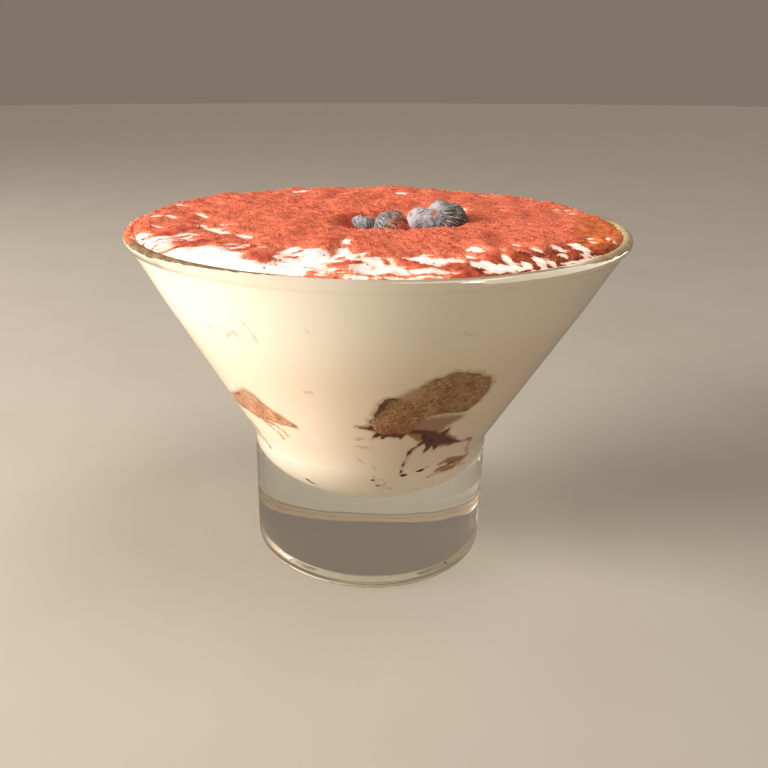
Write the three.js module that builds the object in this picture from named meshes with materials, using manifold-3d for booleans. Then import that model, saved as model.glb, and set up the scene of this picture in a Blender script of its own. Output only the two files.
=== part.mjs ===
// Tiramisu served in a V-shaped dessert glass: a clear glass with a heavy foot,
// filled with mascarpone cream, soaked ladyfingers that show at the wall,
// a sifted cocoa skin on top and blueberries set in a shallow well.
// Millimetres, +Z up. The origin is the middle of the foot, on the table.
// Azimuths are degrees from the front (-Y) towards +X.

import * as THREE from "three";
import { mergeVertices } from "three/addons/utils/BufferGeometryUtils.js";
import Module from "manifold-3d";

const wasm = await Module();
wasm.setup();

const { cos, sin, tan, asin, hypot, atan2, abs, sign, max, min, sqrt, exp, PI } = Math;
const radians = THREE.MathUtils.degToRad;

// ---- driving dimensions ------------------------------------------------------

const GLASS_HEIGHT = 92;
const RIM_RADIUS = 63.5;
const WALL = 2.6;
const FLARE_DEGREES = 29.5; // slope of the wall, from upright
const FLARE = radians(FLARE_DEGREES);
const BASE_RADIUS = 32.6;
const HEEL_RADIUS = 3;
const NECK_FILLET = 4;
const FOOT_RING_INNER = 24.5; // the flat ring the glass stands on starts here
const RECESS_RADIUS = 22.5;
const RECESS_DEPTH = 1.0;
const FLOOR_Z = 19.4; // top of the thick glass floor, in the middle of the hollow

const GAP = 0.3; // clearance between neighbouring pieces
const SEGMENTS = 44; // round the axis, the same for glass, cream and cocoa

const CONTACT_DROP = 0.8; // the cream meets the wall this far below the rim
const CROWN = 0.35; // mean height of the cream above the rim
const TILT_X = -0.01; // the top is a little higher at the left
const TILT_Y = 0.004; // and at the back
const SHOULDER_WIDTH = 4.2; // rounded edge of the cream
const COCOA_THICKNESS = 0.6;

const WELL = { x: 6, y: -1, halfLength: 20, halfWidth: 13.5, depth: 4.2, turn: radians(13) };

// Broad unevenness of the spooned top: height, wave numbers per mm, phase.
const SWELLS = [
  { height: 0.22, kx: 0.19, ky: 0.11, phase: 0.4 },
  { height: 0.18, kx: -0.12, ky: 0.24, phase: 2.1 },
  { height: 0.13, kx: 0.31, ky: -0.2, phase: 4.4 },
];

// Where the cocoa stops short of the wall: azimuth, angular half width, depth in mm.
const COCOA_EDGE_RADIUS = 59.4;
const COCOA_BARE = [
  { azimuth: -61, halfWidth: 9, depth: 4.5 },
  { azimuth: -46, halfWidth: 6, depth: 3 },
  { azimuth: -36, halfWidth: 8, depth: 9.5 },
  { azimuth: -17, halfWidth: 9, depth: 15.5 },
  { azimuth: 1, halfWidth: 5, depth: 9 },
  { azimuth: 13, halfWidth: 8, depth: 14 },
  { azimuth: 27, halfWidth: 7, depth: 10 },
  { azimuth: 46, halfWidth: 7, depth: 7 },
  { azimuth: 59, halfWidth: 5, depth: 3 },
];
const COCOA_RAGGED = [
  { depth: 0.7, waves: 11, phase: 0.3 },
  { depth: 0.5, waves: 17, phase: 1.9 },
];

// Soaked ladyfingers pressed against the wall: place of the middle, length,
// thickness, depth into the cream, slope along the wall and bluntness of the ends.
const LADYFINGERS = [
  { name: "front_right", azimuth: 17.5, z: 58.9, length: 33, thick: 13.6, deep: 17, turn: 28, blunt: 0.75 },
  { name: "front_left", azimuth: -46, z: 52.3, length: 28, thick: 10.6, deep: 15, turn: -3, blunt: 0.85 },
  { name: "back_right", azimuth: 122, z: 60.5, length: 36, thick: 12.2, deep: 17, turn: -20, blunt: 0.75 },
  { name: "back_left", azimuth: -141, z: 50.5, length: 35, thick: 11.6, deep: 15, turn: 15, blunt: 0.8 },
];
const FINGER_WAVINESS = 0.05;

// Berries: middle, radius, and where the crown points (azimuth and rise).
const BERRIES = [
  { at: [-3, 6.2, 87.9], radius: 4.7, crownAzimuth: 215, crownRise: 30 },
  { at: [4.6, -0.9, 90.1], radius: 4.9, crownAzimuth: -80, crownRise: -15 },
  { at: [12.9, 10.2, 89.5], radius: 4.6, crownAzimuth: 130, crownRise: 25 },
  { at: [18.1, 0, 91.4], radius: 6.1, crownAzimuth: 139, crownRise: -38 },
];
const BERRY_SQUASH = 0.94; // along the crown axis

// ---- the wall, as radii at a height -----------------------------------------

const LIP = { radius: WALL / 2, r: RIM_RADIUS - WALL / 2, z: GLASS_HEIGHT - WALL / 2 };
const outerRadius = (z) => LIP.r + LIP.radius / cos(FLARE) + (z - LIP.z) * tan(FLARE);
const innerRadius = (z) => LIP.r - LIP.radius / cos(FLARE) + (z - LIP.z) * tan(FLARE);

// The neck is where the outside of the cone reaches the foot's radius. The round
// floor of the hollow starts on the inside of the cone at that height.
const NECK_Z = LIP.z - (outerRadius(LIP.z) - BASE_RADIUS) / tan(FLARE);
const BOWL_DEPTH = NECK_Z - FLOOR_Z;
const BOWL_RADIUS = (innerRadius(NECK_Z) ** 2 + BOWL_DEPTH ** 2) / (2 * BOWL_DEPTH);
const BOWL_CENTRE_Z = FLOOR_Z + BOWL_RADIUS;
const BOWL_START = -THREE.MathUtils.radToDeg(asin((BOWL_CENTRE_Z - NECK_Z) / BOWL_RADIUS));

const CONTACT_Z = GLASS_HEIGHT - CONTACT_DROP;
const CONTACT_RADIUS = innerRadius(CONTACT_Z) - GAP / cos(FLARE);

// ---- helpers -----------------------------------------------------------------

const point = (r, z) => new THREE.Vector2(r, z);

// Points on an arc in the profile plane, from one angle to another in degrees.
function arc(r, z, radius, from, to, steps) {
  const points = [];
  for (let i = 0; i <= steps; i += 1) {
    const a = radians(from + ((to - from) * i) / steps);
    points.push(point(r + radius * cos(a), z + radius * sin(a)));
  }
  return points;
}

// A profile turned about +Z. Row j of the profile is vertex index modulo its length.
function turned(profile) {
  return new THREE.LatheGeometry(profile, SEGMENTS).rotateX(PI / 2);
}

// Moves each vertex of a geometry by a rule on its position and index.
function reshaped(geometry, rule) {
  const position = geometry.attributes.position;
  const v = new THREE.Vector3();
  for (let i = 0; i < position.count; i += 1) {
    rule(v.fromBufferAttribute(position, i), i);
    position.setXYZ(i, v.x, v.y, v.z);
  }
  return geometry;
}

// A closed geometry as a solid for cutting: shared vertices, no empty triangles.
function solid(geometry) {
  const bare = geometry.clone();
  bare.deleteAttribute("normal");
  bare.deleteAttribute("uv");
  const merged = mergeVertices(bare, 1e-4);
  const index = merged.index.array;
  const kept = [];
  for (let i = 0; i < index.length; i += 3) {
    const [a, b, c] = [index[i], index[i + 1], index[i + 2]];
    if (a !== b && b !== c && c !== a) {
      kept.push(a, b, c);
    }
  }
  const mesh = new wasm.Mesh({
    numProp: 3,
    vertProperties: new Float32Array(merged.attributes.position.array),
    triVerts: new Uint32Array(kept),
  });
  return new wasm.Manifold(mesh);
}

function geometryOf(body) {
  const mesh = body.getMesh();
  const geometry = new THREE.BufferGeometry();
  geometry.setAttribute("position", new THREE.BufferAttribute(new Float32Array(mesh.vertProperties), 3));
  geometry.setIndex(new THREE.BufferAttribute(new Uint32Array(mesh.triVerts), 1));
  return geometry;
}

const cutAll = (body, cutters) => cutters.reduce((rest, cutter) => rest.subtract(cutter), body);

// ---- the top of the cream ----------------------------------------------------

// 1 in the middle of the well, 0 outside it, with a smooth wall between.
function wellShare(x, y) {
  const dx = x - WELL.x;
  const dy = y - WELL.y;
  const u = (dx * cos(WELL.turn) + dy * sin(WELL.turn)) / WELL.halfLength;
  const v = (-dx * sin(WELL.turn) + dy * cos(WELL.turn)) / WELL.halfWidth;
  const s = max(0, 1 - u * u - v * v);
  return min(1, 1.25 * s) ** 1.2;
}

// 1 on the flat of the top, falling as a quarter ellipse to 0 at the wall.
function shoulderShare(x, y) {
  const s = max(0, (hypot(x, y) - (CONTACT_RADIUS - SHOULDER_WIDTH)) / SHOULDER_WIDTH);
  return sqrt(max(0, 1 - s * s));
}

function creamTop(x, y) {
  const swell = SWELLS.reduce((sum, w) => sum + w.height * sin(w.kx * x + w.ky * y + w.phase), 0);
  const flat = CROWN + TILT_X * x + TILT_Y * y + swell - WELL.depth * wellShare(x, y);
  return CONTACT_Z + (CONTACT_DROP + flat) * shoulderShare(x, y);
}

// Rings of the top, from the wall to the middle: close together on the shoulder.
const TOP_INSETS = [0, 0.4, 1.4, 2.8, 4.6, 10, 17, 25, 32, 38, 43.5, 49, 55];
const TOP_RINGS = TOP_INSETS.map((inset) => CONTACT_RADIUS - inset);

// ---- the pieces --------------------------------------------------------------

function glass() {
  const filletZ = NECK_Z - NECK_FILLET * tan(FLARE / 2);
  const profile = [
    point(0, RECESS_DEPTH),
    point(RECESS_RADIUS, RECESS_DEPTH),
    point(FOOT_RING_INNER, 0),
    ...arc(BASE_RADIUS - HEEL_RADIUS, HEEL_RADIUS, HEEL_RADIUS, -90, 0, 3),
    ...arc(BASE_RADIUS + NECK_FILLET, filletZ, NECK_FILLET, 180, 180 - FLARE_DEGREES, 2),
    ...arc(LIP.r, LIP.z, LIP.radius, -FLARE_DEGREES, 180 - FLARE_DEGREES, 6),
    ...arc(0, BOWL_CENTRE_Z, BOWL_RADIUS, BOWL_START, -90, 6),
  ];
  profile[profile.length - 1].x = 0;
  return solid(turned(profile));
}

function creamBody() {
  const wallRows = [
    ...arc(0, BOWL_CENTRE_Z, BOWL_RADIUS - GAP, -90, BOWL_START, 6),
    point(CONTACT_RADIUS, CONTACT_Z),
  ];
  wallRows[0].x = 0;
  const topRows = [...TOP_RINGS.slice(1), 0].map((r) => point(r, GLASS_HEIGHT));
  const rows = wallRows.length + topRows.length;
  const body = turned([...wallRows, ...topRows]);
  reshaped(body, (v, i) => {
    if (i % rows >= wallRows.length) {
      v.z = creamTop(v.x, v.y);
    }
  });
  return solid(body);
}

// The radius at which the cocoa ends, at an angle from the front in radians.
function cocoaEdge(angle) {
  const degrees = THREE.MathUtils.radToDeg(atan2(sin(angle), cos(angle)));
  const bare = COCOA_BARE.reduce(
    (sum, b) => sum + b.depth * exp(-(((degrees - b.azimuth) / b.halfWidth) ** 2)),
    0,
  );
  const ragged = COCOA_RAGGED.reduce((sum, w) => sum + w.depth * sin(w.waves * angle + w.phase), 0);
  return COCOA_EDGE_RADIUS - bare + ragged;
}

// All that lies under the top of the cream lifted by some height, down to a flat floor.
function underTop(lift) {
  const floor = CONTACT_Z - WELL.depth - 2;
  const rings = [...TOP_RINGS, 0].map((r) => point(r, CONTACT_Z));
  const rows = [point(0, floor), point(CONTACT_RADIUS, floor), ...rings];
  const body = turned(rows);
  reshaped(body, (v, i) => {
    v.z = (i % rows.length > 1 ? creamTop(v.x, v.y) : floor) + lift;
  });
  return solid(body);
}

// A skin that follows the cream's top, cut to a ragged outline.
function cocoaBody() {
  const outline = new THREE.Shape();
  const steps = 2 * SEGMENTS;
  for (let i = 0; i < steps; i += 1) {
    const angle = (2 * PI * (i + 0.5)) / steps;
    const r = cocoaEdge(angle);
    outline[i === 0 ? "moveTo" : "lineTo"](r * sin(angle), -r * cos(angle));
  }
  outline.closePath();
  const cutter = new THREE.ExtrudeGeometry(outline, { depth: 2 * GLASS_HEIGHT, bevelEnabled: false });
  return underTop(GAP + COCOA_THICKNESS).intersect(solid(cutter)).subtract(underTop(GAP));
}

// A soaked ladyfinger in wall coordinates: along the wall, up its slope and into
// the cream. It is a rounded bar, flat where it lies against the glass.
// grow swells it on every side, to cut its bed in the cream.
function ladyfinger({ azimuth, z, length, thick, deep, turn, blunt }, grow) {
  const bar = new THREE.SphereGeometry(1, 18, 10);
  const round = (t) => sign(t) * abs(t) ** blunt;
  reshaped(bar, (v) => {
    const along = -round(v.x) * (length / 2 + grow); // mirrored, as inward runs away from the eye
    const wave = 1 + FINGER_WAVINESS * sin(7 * v.x + 2 * v.z);
    const up = round(v.y) * (thick / 2 + grow) * wave;
    const inward = v.z > 0 ? GAP - grow + round(v.z) * (deep + 2 * grow) : GAP - 4 * grow;
    const tilt = radians(turn);
    const s = along * cos(tilt) - up * sin(tilt);
    const t = along * sin(tilt) + up * cos(tilt);
    const wallZ = z + t * cos(FLARE);
    const r = innerRadius(wallZ) - inward * cos(FLARE);
    const angle = radians(azimuth) + s / innerRadius(wallZ);
    v.set(r * sin(angle), -r * cos(angle), wallZ + inward * sin(FLARE));
  });
  return solid(bar);
}

// A berry: a squashed ball with a ring of sepals round a small pit at its crown.
function blueberry({ at, radius, crownAzimuth, crownRise }, grow) {
  const ball = new THREE.SphereGeometry(radius + grow, 16, 10);
  reshaped(ball, (v) => {
    const fromCrown = THREE.MathUtils.radToDeg(v.angleTo(new THREE.Vector3(0, 1, 0)));
    const pit = grow > 0 ? 0 : 0.16 * exp(-((fromCrown / 14) ** 2));
    v.multiplyScalar(1 - pit);
    v.y *= BERRY_SQUASH;
  });
  const azimuth = radians(crownAzimuth);
  const rise = radians(crownRise);
  const crown = new THREE.Vector3(sin(azimuth) * cos(rise), -cos(azimuth) * cos(rise), sin(rise));
  ball.applyQuaternion(new THREE.Quaternion().setFromUnitVectors(new THREE.Vector3(0, 1, 0), crown));
  ball.translate(...at);
  return solid(ball);
}

// ---- assembly ----------------------------------------------------------------

const FINISHES = {
  glass: { color: 0xe9efe8, roughness: 0.05, metalness: 0, transparent: true, opacity: 0.35 },
  cream: { color: 0xf3dfc2, roughness: 0.5, metalness: 0 },
  cocoa: { color: 0xb4563f, roughness: 0.95, metalness: 0 },
  ladyfinger: { color: 0x8d6448, roughness: 0.9, metalness: 0 },
  blueberry: { color: 0x4a5468, roughness: 0.5, metalness: 0 },
};

const tiramisu = new THREE.Group();
tiramisu.name = "tiramisu";

function addPiece(name, body, finish) {
  const mesh = new THREE.Mesh(geometryOf(body), new THREE.MeshStandardMaterial(FINISHES[finish]));
  mesh.name = name;
  tiramisu.add(mesh);
}

const fingerBeds = LADYFINGERS.map((finger) => ladyfinger(finger, GAP));
const berryBeds = BERRIES.map((berry) => blueberry(berry, GAP));

addPiece("glass", glass(), "glass");
addPiece("cream", cutAll(creamBody(), [...fingerBeds, ...berryBeds]), "cream");
addPiece("cocoa", cutAll(cocoaBody(), berryBeds), "cocoa");
for (const finger of LADYFINGERS) {
  addPiece(`ladyfinger_${finger.name}`, ladyfinger(finger, 0), "ladyfinger");
}
BERRIES.forEach((berry, i) => {
  addPiece(`blueberry_${i + 1}`, blueberry(berry, 0), "blueberry");
});

export default tiramisu;
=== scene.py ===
"""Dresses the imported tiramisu: a clear V-shaped glass, mascarpone cream with coffee marks,
soaked ladyfingers at the wall, sifted cocoa with its loose grains, and bloomed blueberries.
Sizes are millimetres until a mesh is made. Azimuths are degrees from the front (-Y) towards +X."""
import math

import bpy
import numpy as np
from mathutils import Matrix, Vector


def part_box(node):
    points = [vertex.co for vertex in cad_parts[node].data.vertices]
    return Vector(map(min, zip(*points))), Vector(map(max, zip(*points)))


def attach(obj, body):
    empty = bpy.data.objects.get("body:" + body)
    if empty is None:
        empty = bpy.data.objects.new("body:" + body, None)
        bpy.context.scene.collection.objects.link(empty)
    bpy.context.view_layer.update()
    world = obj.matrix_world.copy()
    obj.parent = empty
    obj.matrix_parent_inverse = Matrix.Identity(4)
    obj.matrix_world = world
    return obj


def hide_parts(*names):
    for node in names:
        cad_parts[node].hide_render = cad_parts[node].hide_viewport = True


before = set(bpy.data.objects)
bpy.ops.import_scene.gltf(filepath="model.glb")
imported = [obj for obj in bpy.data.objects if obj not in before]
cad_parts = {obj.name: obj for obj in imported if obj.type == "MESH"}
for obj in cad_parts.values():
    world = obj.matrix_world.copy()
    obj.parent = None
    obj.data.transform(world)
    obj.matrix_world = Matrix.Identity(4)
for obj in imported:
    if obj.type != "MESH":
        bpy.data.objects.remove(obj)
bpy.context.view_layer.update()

MM = 0.001

# ---- the glass, as the solids have it -----------------------------------------------

_, glass_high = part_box("glass")
RIM_RADIUS, GLASS_HEIGHT = glass_high[0] / MM, glass_high[2] / MM
WALL = 2.6
FLARE = math.radians(29.5)
BASE_RADIUS = 32.6
HEEL_RADIUS = 3.0
NECK_FILLET = 4.0
FOOT_RING_INNER = 24.5
RECESS_RADIUS, RECESS_DEPTH, RECESS_DOME = 22.5, 1.0, 0.35
FLOOR_Z = 19.4
LIP_RADIUS = WALL / 2
LIP_R = RIM_RADIUS - LIP_RADIUS
LIP_Z = GLASS_HEIGHT - LIP_RADIUS


def outer_radius(z):
    """Radius of the outside of the cone at a height."""
    return LIP_R + LIP_RADIUS / math.cos(FLARE) + (z - LIP_Z) * math.tan(FLARE)


def inner_radius(z):
    """Radius of the inside of the cone at a height."""
    return LIP_R - LIP_RADIUS / math.cos(FLARE) + (z - LIP_Z) * math.tan(FLARE)


NECK_Z = LIP_Z - (outer_radius(LIP_Z) - BASE_RADIUS) / math.tan(FLARE)
BOWL_DEPTH = NECK_Z - FLOOR_Z
BOWL_RADIUS = (inner_radius(NECK_Z) ** 2 + BOWL_DEPTH**2) / (2 * BOWL_DEPTH)
BOWL_CENTRE_Z = FLOOR_Z + BOWL_RADIUS
BOWL_START = -math.degrees(math.asin((BOWL_CENTRE_Z - NECK_Z) / BOWL_RADIUS))

# ---- the cream and the cocoa on it --------------------------------------------------

INTO_WALL = 0.08  # the cream reaches this far into the glass, so no air shows
CONTACT_DROP = 0.8
CONTACT_Z = GLASS_HEIGHT - CONTACT_DROP
CONTACT_RADIUS = inner_radius(CONTACT_Z) + INTO_WALL / math.cos(FLARE)
CROWN = 0.62
TILT_X, TILT_Y = -0.01, 0.004
SHOULDER_WIDTH = 4.2
WELL_X, WELL_Y = 6.0, -1.0
WELL_HALF_LENGTH, WELL_HALF_WIDTH, WELL_DEPTH = 20.0, 13.5, 4.2
WELL_TURN = math.radians(13)
# height, wave numbers per mm in x and y, phase
SWELLS = ((0.22, 0.19, 0.11, 0.4), (0.18, -0.12, 0.24, 2.1), (0.13, 0.31, -0.2, 4.4))
COCOA_THICKNESS = 0.34
COCOA_SINK = 0.22  # where it is bare the skin lies this far under the cream
FAR = 3  # distances into cocoa and marks are kept within this many mm
UNDER_COCOA = (0.97, 0.93, 0.91)  # the cream's colour there

# Points all round each surface, and from end to end of a berry.
GLASS_COLUMNS, CREAM_COLUMNS, COCOA_COLUMNS = 256, 540, 600
FINGER_COLUMNS, BERRY_COLUMNS, BERRY_ROWS = 220, 216, 110

# ---- the camera, in pixels, mm and radians ------------------------------------------

PICTURE, FOCAL_LENGTH, AXIS_COLUMN = 768, 770, 330
CAMERA_BACK, CAMERA_UP = 202, 127
CAMERA_DOWN, CAMERA_LEFT = 0.380, 0.0565
SEEN_AT_Z = 92.4  # the height of the cocoa's front, where the camera sees the runs below


def seen(*runs):
    """Runs of (x, y, half width) from runs of (column, row, half width), to a tenth of a
    millimetre: the ray through the pixel starts at the camera, leans down and turns left
    with it, and is cut where it comes to the height."""
    return tuple(tuple((*seen_point(column, row), width) for column, row, width in run) for run in runs)


def seen_point(column, row):
    """Where the ray through one pixel comes to the height."""
    across, up = (column - AXIS_COLUMN) / FOCAL_LENGTH, (PICTURE / 2 - row) / FOCAL_LENGTH
    ahead = math.cos(CAMERA_DOWN) + up * math.sin(CAMERA_DOWN)
    fall = (SEEN_AT_Z - CAMERA_UP) / (up * math.cos(CAMERA_DOWN) - math.sin(CAMERA_DOWN))
    x = across * math.cos(CAMERA_LEFT) - ahead * math.sin(CAMERA_LEFT)
    y = across * math.sin(CAMERA_LEFT) + ahead * math.cos(CAMERA_LEFT)
    return round(x * fall, 1), round(y * fall - CAMERA_BACK, 1)


def near_glass(*runs):
    """Runs of (x, y, half width) from runs of (azimuth, radius, half width)."""
    def place(azimuth, radius):
        a = math.radians(azimuth)
        return round(radius * math.sin(a), 1), round(-radius * math.cos(a), 1)

    return tuple(tuple((*place(azimuth, radius), width) for azimuth, radius, width in run) for run in runs)


# ---- where the cocoa is bare: runs that the sieve missed or that were rubbed off, as
# the camera sees them, near the glass and behind, and runs of thick cocoa that cross them

BARE = seen(
    ((141, 236, 1), (145, 239, 1.8), (152, 243, 1.6)),
    ((150, 243, 1.3), (159, 248, 2.2), (170, 252, 2)),
    ((165, 239, 1.3), (170, 242, 0.91)),
    ((176, 254, 1.3), (186, 256, 1)),
    ((197, 259, 1.8), (206, 252, 3.4), (221, 257, 4.2), (238, 263, 3), (250, 269, 1.8)),
    ((182, 240, 0.67), (197, 243.5, 1), (206, 245, 0.91)),
    ((197, 248, 0.55), (207, 249, 0.67)),
    ((229, 249, 0.79), (238, 249, 1)),
    ((243, 258, 1), (250, 262, 1.2)),
    ((268, 266, 3), (282, 262, 5), (300, 260, 6.2), (318, 262, 5.2), (330, 264, 2.6)),
    ((284, 253, 1), (298, 251, 1.6), (318, 253, 1.6), (328, 256, 1.2)),
    ((337, 255, 1.2), (343, 251, 1.6), (350, 258, 1.2)),
    ((346.5, 243, 1.2), (346.5, 246, 1.2)),
    ((359, 268, 2.2), (366, 262, 3), (379, 262, 4), (392, 267, 3.2)),
    ((360, 257, 1), (364, 256, 1)),
    ((407, 259, 1.8), (414, 262, 1.5)),
    ((422, 258, 2.4), (430, 262, 3.6), (444, 261, 3.8), (455, 262, 2.6)),
    ((424, 254, 1.2), (429, 253, 1.2)),
    ((457, 257, 1.3), (463, 257, 0.79)),
    ((474, 266, 1.4), (484, 263, 2.2), (494, 266, 2.4), (508, 266, 2), (518, 267, 1.2)),
    ((472, 248.5, 1.3), (479, 252, 1.4)),
    ((466, 256, 0.67), (474, 259, 1)),
    ((506, 257, 0.85), (510, 261, 1.1), (516, 265, 1)),
    ((508, 243.5, 0.85), (515, 244.5, 1.2), (522, 246.5, 0.67)),
    ((503, 252, 0.47), (510, 253, 0.57), (518, 252, 0.57)),
    ((526, 262, 0.85), (529, 267, 1), (533, 268, 0.77)),
    ((532, 247, 0.85), (538, 251, 0.85)),
    ((535, 256, 1), (541, 262, 1.3), (544, 266, 0.85)),
    ((546, 256, 0.57), (553, 262, 0.67)),
    ((555, 244.5, 1), (562, 247.5, 1)),
    ((562, 250, 0.67), (566, 256, 0.67)),
    ((572, 242, 0.94), (578, 246, 1.1), (583, 250, 0.77)),
    ((583, 246, 0.77), (586, 251, 1), (587, 254, 0.67)),
    ((590, 238, 0.57), (594, 242, 0.57)),
    ((607.5, 237, 0.85), (612, 241, 0.85)),
    ((561, 261, 0.47), (580, 258, 0.57), (593, 255, 0.67)),
    ((595, 255, 0.67), (600, 253, 1), (606, 252, 0.67)),
    ((188, 237, 0.67), (196, 239, 0.79)),
    ((208, 232, 0.91), (222, 234, 1.2)),
    ((203, 229, 0.67), (210, 231, 0.79)),
    ((158, 229, 0.67), (166, 231, 0.67)),
    ((224, 226, 1.2), (231, 228, 1.2)),
    ((198, 226, 0.67), (207, 228, 0.79)),
    ((149, 221, 1.3), (158, 222, 1.3)),
    ((170, 221, 0.91), (174, 222, 0.91)),
    ((187, 203, 1.2), (196, 202, 1.2)),
    ((178, 208, 0.79), (185, 208, 0.67)),
    ((200, 218, 0.67), (206, 219, 0.67)),
    ((240, 236, 1.2), (249, 238, 1.2)),
    ((247, 246.5, 1), (263, 248.5, 1)),
    ((232, 246, 0.67), (238, 247, 0.67)),
    ((275, 247, 0.55), (283, 248, 0.55)),
    ((190, 232, 0.43), (200, 234, 0.43)),
    ((501, 211, 0.38), (504, 212, 0.46)),
    ((508, 212.5, 0.46), (511, 213, 0.38)),
    ((556, 210, 0.46), (560, 211.5, 0.46)),
    ((566, 210, 0.38), (573, 213, 0.53)),
    ((461, 209, 0.67), (465, 212, 0.79)),
) + near_glass(
    ((-60, 57.6, 0.8), (-54, 57.4, 1.2), (-46, 57.8, 1.5), (-38, 58.6, 1.5)),
    ((-40, 59, 1.7), (-34, 58.6, 2.2), (-28, 58.4, 2.4), (-23, 58.6, 1.8)),
    ((-20.5, 58.8, 1.8), (-16, 58.2, 2.6), (-11, 58, 2.2), (-6, 58.6, 1.1)),
    ((-5, 60.2, 0.5), (3, 60.2, 0.5), (13, 60.2, 0.5)),
    ((-3, 57.6, 1.6), (1, 57.2, 2), (5, 57.4, 1.6)),
    ((8, 57.8, 1.2), (12, 57.4, 1.6), (15, 58, 0.9)),
    ((19.5, 59, 0.7), (25, 58.8, 0.9), (30, 59.2, 0.7)),
    ((-49, 60.2, 0.8), (-38, 60.4, 1), (-28, 60.4, 1), (-19, 60.3, 0.8)),
) + (
    ((-22, 44, 1), (-25, 46, 1.2)),
    ((10, 45, 0.9), (7, 46.5, 0.7)),
    ((-7, 54, 1.1), (-10, 53, 0.8)),
    ((36, 43, 1.2), (34, 45, 0.8)),
    ((-45, 20, 0.8), (-47, 17, 0.6)),
)
ISLANDS = seen(
    ((158, 239, 1.4), (172, 237, 2.6), (196, 232, 2)),
    ((172, 249, 1), (188, 247, 2.2), (205, 243.5, 1)),
    ((232, 252.5, 1), (243, 251.5, 1.6), (254, 248, 1)),
    ((244, 260, 0.6), (249, 256, 0.5)),
    ((254, 257, 1.6), (262, 260, 2.8), (266, 257, 1.6)),
    ((286, 257, 0.7), (296, 257, 0.6)),
    ((142, 239, 0.4), (144, 240, 0.3)),
    ((336, 264, 1.6), (345, 266, 1.8), (356, 265, 1.2)),
    ((401, 262, 1.6), (406, 266, 1.4)),
    ((413, 266, 0.8), (421, 268, 0.8)),
    ((443, 268, 1.2), (456, 265, 2.2), (470, 268, 2.2), (478, 271, 0.8)),
    ((383, 262, 0.5), (386, 265, 0.4)),
    ((455, 254, 0.3), (457, 259, 0.3)),
) + near_glass(
    ((-13, 59.6, 0.12), (-8, 59.3, 0.22), (-3, 59.5, 0.2), (2, 59.6, 0.22), (7, 59.4, 0.25),
     (12, 59.5, 0.2), (17, 59.6, 0.3)),
    ((-9, 58.4, 0.1), (-6, 58.3, 0.25), (-3.5, 58.6, 0.1)),
    ((20, 60.2, 0.4), (26, 60.1, 0.35), (33, 60, 0.4)),
)

# ---- ladyfingers: azimuth and height of the middle, turn, depth, outline radii all round

FINGERS = {
    "front_right": (
        17.2, 58.6, 28, 17,
        (15.2, 13.8, 12.8, 12.1, 10.2, 8.7, 7.6, 7.3, 8.0, 10.5, 11.2, 12.4)
        + (14.3, 14.2, 11.6, 10.6, 5.4, 4.1, 4.1, 4.8, 6.1, 12.5, 13.9, 15.0),
    ),
    "front_left": (
        -43, 52.3, 0, 15,
        (7.9, 5.8, 5.1, 5.0, 5.3, 6.2, 6.5, 6.4, 6.1, 6.2, 6.6, 8.5)
        + (11.7, 12.3, 6.8, 5.7, 5.4, 4.5, 4.1, 4.0, 4.2, 5.3, 7.7, 11.0),
    ),
    "back_right": (122, 60.5, -20, 17, (17.0, 12.5, 8.0, 6.6, 7.8, 12.0, 16.8, 11.5, 7.4, 6.2, 7.6, 13.0)),
    "back_left": (-141, 50.5, 15, 15, (16.0, 11.0, 7.2, 6.4, 8.2, 12.6, 15.8, 12.4, 7.0, 5.6, 6.8, 11.4)),
}

# ---- berries: middle, radius, direction of the crown -------------------------------

BERRIES = (
    ((-3.0, 6.2, 87.9), 4.7, 215, 30),
    ((4.6, -0.9, 90.1), 4.9, 70, -35),
    ((12.9, 10.2, 89.5), 4.6, 130, 25),
    ((18.1, 0.0, 91.4), 6.1, 139, -38),
)
BERRY_SQUASH = 0.94
# Bloom on the whole berry, the way that it thickens and pales towards the lit upper left as painted light,
# cocoa dust and its way, streaks.
BERRY_LOOKS = (
    (0.55, (-0.3, 0.0, 0.1), -0.1, (0.1, -0.3, -0.3), 1.0),
    (0.10, (-0.50, 0.0, 0.25), 0.20, (0.42, -0.25, 0.05), 1.3),
    (0.80, (-0.3, 0.0, 0.1), -0.2, (0.0, 0.0, -0.4), 0.6),
    (0.15, (-0.40, 0.1, 0.60), -0.25, (0.1, -0.1, -0.4), 1.4),
)
# Crumb colours of a ladyfinger: two browns, soaked, edge.
SPONGES = {
    "brown": ((0.31, 0.156, 0.068), (0.49, 0.265, 0.126), (0.37, 0.128, 0.057), (0.105, 0.042, 0.017)),
    "rosy": ((0.54, 0.225, 0.120), (0.72, 0.365, 0.215), (0.38, 0.12, 0.060), (0.18, 0.066, 0.036)),
}


# ---- helpers ------------------------------------------------------------------------


def ripple(points, wavelength, seed, waves=26):
    """Uneven field: the sum of plane waves of random direction and phase, with lengths
    round the given one, scaled to mean 0 and deviation 1."""
    rng = np.random.default_rng(seed)
    heading = rng.normal(size=(waves, points.shape[-1]))
    heading /= np.linalg.norm(heading, axis=1, keepdims=True)
    number = 2 * np.pi / (wavelength * rng.uniform(0.7, 1.5, waves))
    phase = rng.uniform(0, 2 * np.pi, waves)
    total = np.zeros(points.shape[:-1])
    for h, k, p in zip(heading, number, phase):
        total += np.sin(points @ (h * k) + p)
    return total * math.sqrt(2 / waves)


def smooth_step(low, high, value):
    """0 below low, 1 above high, and 3t^2 - 2t^3 between."""
    t = np.clip((value - low) / (high - low), 0, 1)
    return t * t * (3 - 2 * t)


def hump(value, middle, width, power=2):
    """1 at the middle, falling to both sides: e to the -|(value - middle) / width|^power."""
    return np.exp(-(((value - middle) / width) ** power))


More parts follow.
